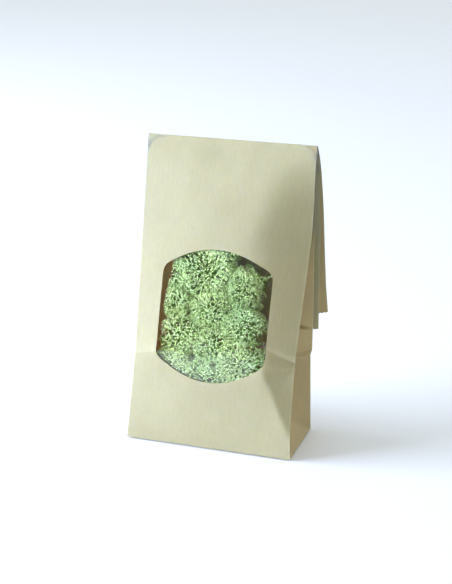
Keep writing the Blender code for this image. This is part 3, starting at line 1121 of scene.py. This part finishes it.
def film_material():
    made, wiring, shader = new_material("clear_film_finish")
    shader.inputs["Base Color"].default_value = (0.97, 0.985, 0.99, 1.0)
    shader.inputs["Transmission Weight"].default_value = 1.0
    shader.inputs["IOR"].default_value = 1.5
    place = wiring.node("TexCoord").outputs["Object"]
    _, mask = place_grain(wiring, place, 70.0, 2.0, BLACK, WHITE)
    wiring.join(wiring.span(mask, 0.0, 1.0, 0.0, 0.04), shader.inputs["Roughness"])
    wiring.bump(shader, mask, 0.25, 0.3 * MM)
    # Lamps reach the lichen through the film.
    clear = wiring.node("BsdfTransparent")
    clear.inputs["Color"].default_value = (0.94, 0.95, 0.95, 1.0)
    choose = wiring.node("MixShader")
    wiring.join(wiring.node("LightPath").outputs["Is Shadow Ray"], choose.inputs[0])
    wiring.join(shader.outputs[0], choose.inputs[1])
    wiring.join(clear.outputs[0], choose.inputs[2])
    wiring.join(choose.outputs[0], made.node_tree.nodes["Material Output"].inputs["Surface"])
    return made


def lichen_material():
    lichen = scene_settings()[2]
    made, wiring, shader = new_material("reindeer_lichen_finish")
    place = wiring.node("TexCoord").outputs["Object"]
    age_and_shade = wiring.node("Attribute", attribute_name="age_and_shade").outputs["Fac"]
    tone = wiring.node("Attribute", attribute_name="tone").outputs["Fac"]
    # Pale tips to dark stems by the age value: young growth, and painted shade deeper in the cushion.
    tip = tuple(lichen.tip_colour)
    stem = tuple(lichen.stem_colour)
    middle = tuple(math.sqrt(a * b) for a, b in zip(tip, stem))
    ramp = wiring.node("ValToRGB")
    ramp.color_ramp.elements[0].color = (*stem, 1.0)
    ramp.color_ramp.elements[1].color = (*tip, 1.0)
    half_way = ramp.color_ramp.elements.new(0.4)
    half_way.color = (*middle, 1.0)
    wiring.join(age_and_shade, ramp.inputs["Fac"])
    patches, patch_mask = place_grain(wiring, place, 55.0, 2.0, (0.84, 0.97, 0.98), (1.12, 1.03, 0.82))
    colour = wiring.mix(0.6, ramp.outputs["Color"], patches, "MULTIPLY")
    pale = wiring.span(tone, 0.75, 1.0, 0.0, 0.35)
    colour = wiring.mix(pale, colour, (0.74, 0.82, 0.66))
    wiring.join(colour, shader.inputs["Base Color"])
    wiring.join(wiring.span(patch_mask, 0.0, 1.0, 0.75, 0.95), shader.inputs["Roughness"])
    shader.inputs["Specular IOR Level"].default_value = 0.25
    return made


def table_material():
    made, wiring, shader = new_material("pale_table_finish")
    place = wiring.node("TexCoord").outputs["Object"]
    colour, mask = place_grain(wiring, place, 3.0, 3.0, (0.83, 0.84, 0.84), (0.85, 0.855, 0.855))
    wiring.join(colour, shader.inputs["Base Color"])
    wiring.join(wiring.span(mask, 0.0, 1.0, 0.55, 0.65), shader.inputs["Roughness"])
    shader.inputs["Specular IOR Level"].default_value = 0.2
    return made


# Stage

CAMERA_TARGET = (4.2, 0.0, 89.4)
LIGHT_TARGET = (0.0, 0.0, 80.0)
TABLE_TOP = -0.2


def make_floor(stage):
    deselect_all()
    bpy.ops.mesh.primitive_plane_add(size=stage.floor_size, location=(0, 0, TABLE_TOP * MM))
    floor = name_active("pale_table")
    bpy.ops.object.transform_apply(location=True, rotation=False, scale=False)
    floor.data.materials.append(table_material())


def direction_from(azimuth, elevation):
    return Vector(
        (
            math.sin(azimuth) * math.cos(elevation),
            -math.cos(azimuth) * math.cos(elevation),
            math.sin(elevation),
        )
    )


def make_light(name, azimuth, elevation, distance, size, power, colour):
    back = direction_from(math.radians(azimuth), math.radians(elevation))
    target = Vector(LIGHT_TARGET) * MM
    bpy.ops.object.light_add(type="AREA", location=target + back * distance)
    lamp = bpy.context.object
    lamp.name = name
    lamp.rotation_euler = back.to_track_quat("Z", "Y").to_euler()
    lamp.data.shape = "RECTANGLE"
    lamp.data.size, lamp.data.size_y = size
    lamp.data.energy = power
    lamp.data.color = colour
    return lamp


def make_world():
    """A pale room: bright behind and above, warm on the right, dim in front over a bright low band."""
    world = bpy.data.worlds.new("pale_room")
    bpy.context.scene.world = world
    world.use_nodes = True
    wiring = Wiring(world.node_tree)
    back = world.node_tree.nodes["Background"]
    parts = wiring.node("SeparateXYZ")
    wiring.join(wiring.node("TexCoord").outputs["Generated"], parts.inputs[0])
    across, away, up = parts.outputs
    behind = wiring.span(away, -0.35, 0.40)
    right = wiring.math("MULTIPLY", wiring.span(across, 0.05, 0.85), wiring.span(away, 0.1, 1.0, 1.0, 0.0))
    low = wiring.math("MULTIPLY", wiring.span(up, 0.05, 0.12, 1.0, 0.0), wiring.math("SUBTRACT", 1.0, behind))
    colour = wiring.mix(behind, (0.10, 0.10, 0.09), (1.16, 1.26, 1.30))
    colour = wiring.mix(right, colour, (0.56, 0.38, 0.19))
    above = wiring.span(up, 0.35, 0.95)
    colour = wiring.mix(above, colour, (0.86, 0.95, 1.02))
    colour = wiring.mix(low, colour, (1.5, 1.68, 1.76))
    wiring.join(colour, back.inputs["Color"])
    back.inputs["Strength"].default_value = 1.0


def make_camera(stage):
    target = Vector(CAMERA_TARGET) * MM
    back = direction_from(stage.azimuth, stage.elevation)
    bpy.ops.object.camera_add(location=target + back * stage.distance)
    camera = bpy.context.object
    camera.name = "camera"
    camera.rotation_mode = "QUATERNION"
    camera.rotation_quaternion = back.to_track_quat("Z", "Y")
    camera.data.lens = stage.lens
    camera.data.sensor_width = 36.0
    camera.data.clip_start = 0.01
    camera.data.clip_end = 50.0
    bpy.context.scene.camera = camera


# Operators


class WINDOW_BAG_OT_fold_paper(bpy.types.Operator):
    """Folds the kraft paper bag from one sheet and cuts its window"""

    bl_idname = "window_bag.fold_paper"
    bl_label = "Fold the paper bag"

    def execute(self, context):
        bag = make_paper_bag()
        if len(bag.data.polygons) < 1000:
            raise RuntimeError("the paper bag came out empty")
        settle(bag, "kraft_paper", paper_material(), "paper_bag")
        return {"FINISHED"}


class WINDOW_BAG_OT_fit_film(bpy.types.Operator):
    """Fits the clear film behind the window"""

    bl_idname = "window_bag.fit_film"
    bl_label = "Fit the film"

    def execute(self, context):
        settle(make_film(), "clear_film", film_material(), "window_film")
        return {"FINISHED"}


class WINDOW_BAG_OT_grow_lichen(bpy.types.Operator):
    """Grows the cushions of reindeer lichen, finely branched where the window shows them"""

    bl_idname = "window_bag.grow_lichen"
    bl_label = "Grow the lichen"

    def execute(self, context):
        paper, _, lichen, _ = scene_settings()
        noise.seed_set(lichen.seed)
        finish = lichen_material()
        cushions = sorted(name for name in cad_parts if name.startswith("lichen_cushion_"))
        if not cushions:
            raise RuntimeError("the frame holds no lichen cushions")
        for number, name in enumerate(cushions):
            piece = make_cushion(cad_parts[name], number < SEEN_CUSHIONS, lichen, paper)
            settle(piece, "reindeer_lichen", finish, name)
        return {"FINISHED"}


class WINDOW_BAG_OT_set_stage(bpy.types.Operator):
    """Sets the pale table, the soft window light and the camera"""

    bl_idname = "window_bag.set_stage"
    bl_label = "Set the stage"

    def execute(self, context):
        stage = scene_settings()[3]
        make_floor(stage)
        make_light("window_light", -71.6, 11.0, 1.5, (1.1, 0.5), stage.key_power, (0.94, 1.04, 1.40))
        make_world()
        make_camera(stage)
        context.scene.view_settings.view_transform = "Standard"
        return {"FINISHED"}


class WINDOW_BAG_PT_panel(bpy.types.Panel):
    """The bag's settings and steps in the sidebar"""

    bl_idname = "WINDOW_BAG_PT_panel"
    bl_label = "Window bag"
    bl_space_type = "VIEW_3D"
    bl_region_type = "UI"
    bl_category = "Window bag"

    def draw(self, context):
        for group in scene_settings():
            for name in group.__annotations__:
                self.layout.prop(group, name)
        for operator in STEPS:
            self.layout.operator(operator.bl_idname)


STEPS = (
    WINDOW_BAG_OT_fold_paper,
    WINDOW_BAG_OT_fit_film,
    WINDOW_BAG_OT_grow_lichen,
    WINDOW_BAG_OT_set_stage,
)
GROUPS = (
    ("bag_paper", PaperSettings),
    ("bag_film", FilmSettings),
    ("bag_lichen", LichenSettings),
    ("bag_stage", StageSettings),
)


def register():
    for name, group in GROUPS:
        bpy.utils.register_class(group)
        setattr(bpy.types.Scene, name, PointerProperty(type=group))
    for kind in (*STEPS, WINDOW_BAG_PT_panel):
        bpy.utils.register_class(kind)


def unregister():
    for kind in (WINDOW_BAG_PT_panel, *reversed(STEPS)):
        bpy.utils.unregister_class(kind)
    for name, group in reversed(GROUPS):
        delattr(bpy.types.Scene, name)
        bpy.utils.unregister_class(group)


def main():
    register()
    bpy.ops.window_bag.fold_paper()
    bpy.ops.window_bag.fit_film()
    bpy.ops.window_bag.grow_lichen()
    bpy.ops.window_bag.set_stage()


if __name__ == "__main__":
    main()
